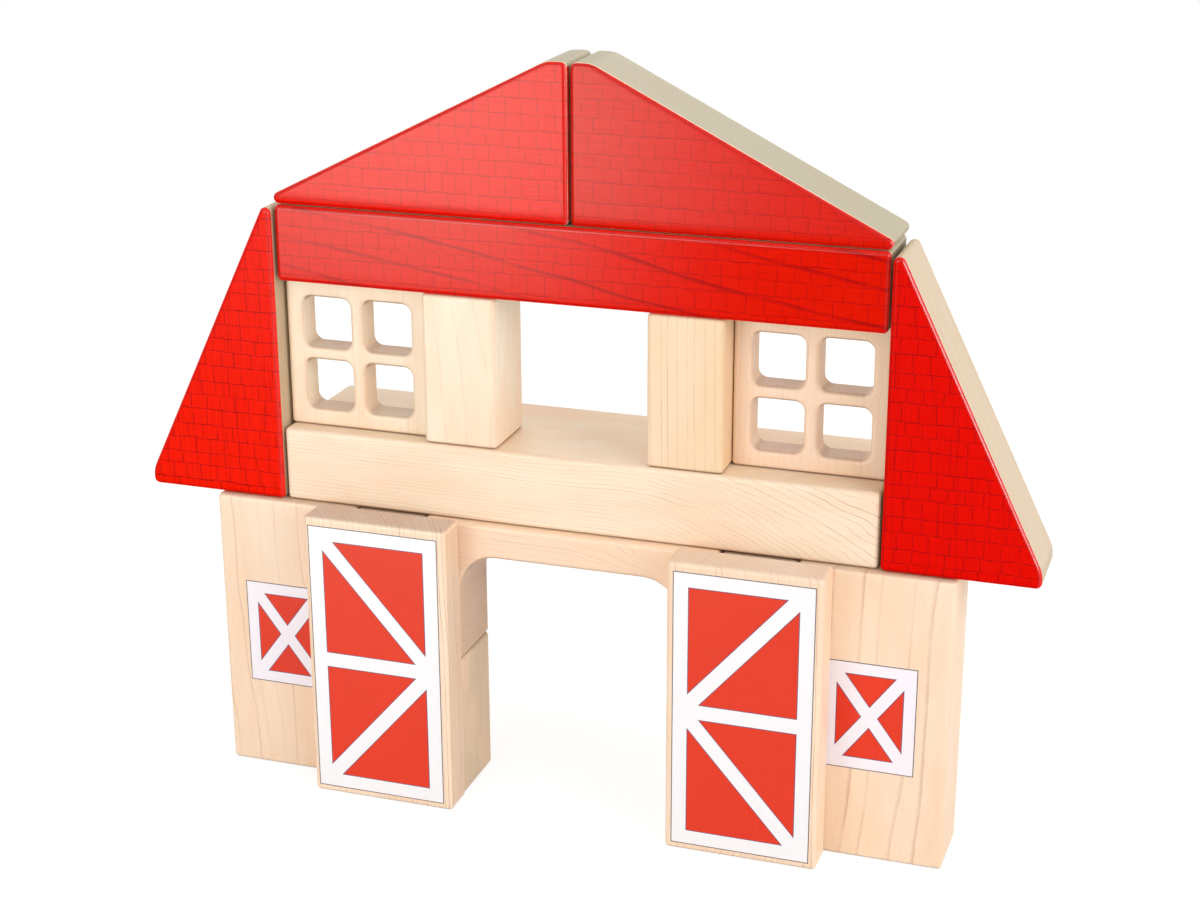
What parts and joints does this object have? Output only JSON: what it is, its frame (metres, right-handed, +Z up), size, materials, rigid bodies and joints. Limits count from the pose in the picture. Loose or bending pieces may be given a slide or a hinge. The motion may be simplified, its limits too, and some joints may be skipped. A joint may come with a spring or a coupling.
{
  "type": "toy barn",
  "caption": "Wooden block toy barn with a gambrel roof, paned loft windows, an arched doorway and plain doors that slide along the front wall.",
  "frame": {"origin": "on the floor, under the middle of the barn, which is midway between the fronts of the doors and the back of the floor beam", "axes": "+X along the front to the right as seen from the front, +Y from the front to the back, +Z up"},
  "size_m": [0.419, 0.0918, 0.3479],
  "materials": {
    "maple": "sanded smooth, clear satin coat",
    "red_printed_maple": "red print on the front, clear satin coat",
    "white_print": "printed panel",
    "red_print": "printed panel"
  },
  "bodies": {
    "barn": {"wall_left": "maple", "wall_right": "maple", "pillar_left": "maple", "pillar_right": "maple", "arch": "maple", "arch_support_left": "maple", "arch_support_right": "maple", "floor_beam": "maple", "window_left": "maple", "window_right": "maple", "post_left": "maple", "post_right": "maple", "roof_beam": "red_printed_maple"},
    "left_door": {"door_left": "maple"},
    "right_door": {"door_right": "maple"},
    "left_slope": {"roof_slope_left": "red_printed_maple"},
    "right_slope": {"roof_slope_right": "red_printed_maple"},
    "left_gable": {"gable_left": "red_printed_maple"},
    "right_gable": {"gable_right": "red_printed_maple"}
  },
  "joints": [
    {"name": "door_left_slide", "type": "slide", "parent": "barn", "child": "left_door", "axis": [1, 0, 0], "range_m": [0, 0.0516]},
    {"name": "door_right_slide", "type": "slide", "parent": "barn", "child": "right_door", "axis": [-1, 0, 0], "range_m": [0, 0.0516]},
    {"name": "gable_left_lift", "type": "slide", "parent": "barn", "child": "left_gable", "axis": [0, 0, 1], "range_m": [0, 0.08]},
    {"name": "gable_right_lift", "type": "slide", "parent": "barn", "child": "right_gable", "axis": [0, 0, 1], "range_m": [0, 0.08]},
    {"name": "roof_slope_left_lift", "type": "slide", "parent": "barn", "child": "left_slope", "axis": [0, 0, 1], "range_m": [0, 0.22]},
    {"name": "roof_slope_right_lift", "type": "slide", "parent": "barn", "child": "right_slope", "axis": [0, 0, 1], "range_m": [0, 0.22]}
  ]
}
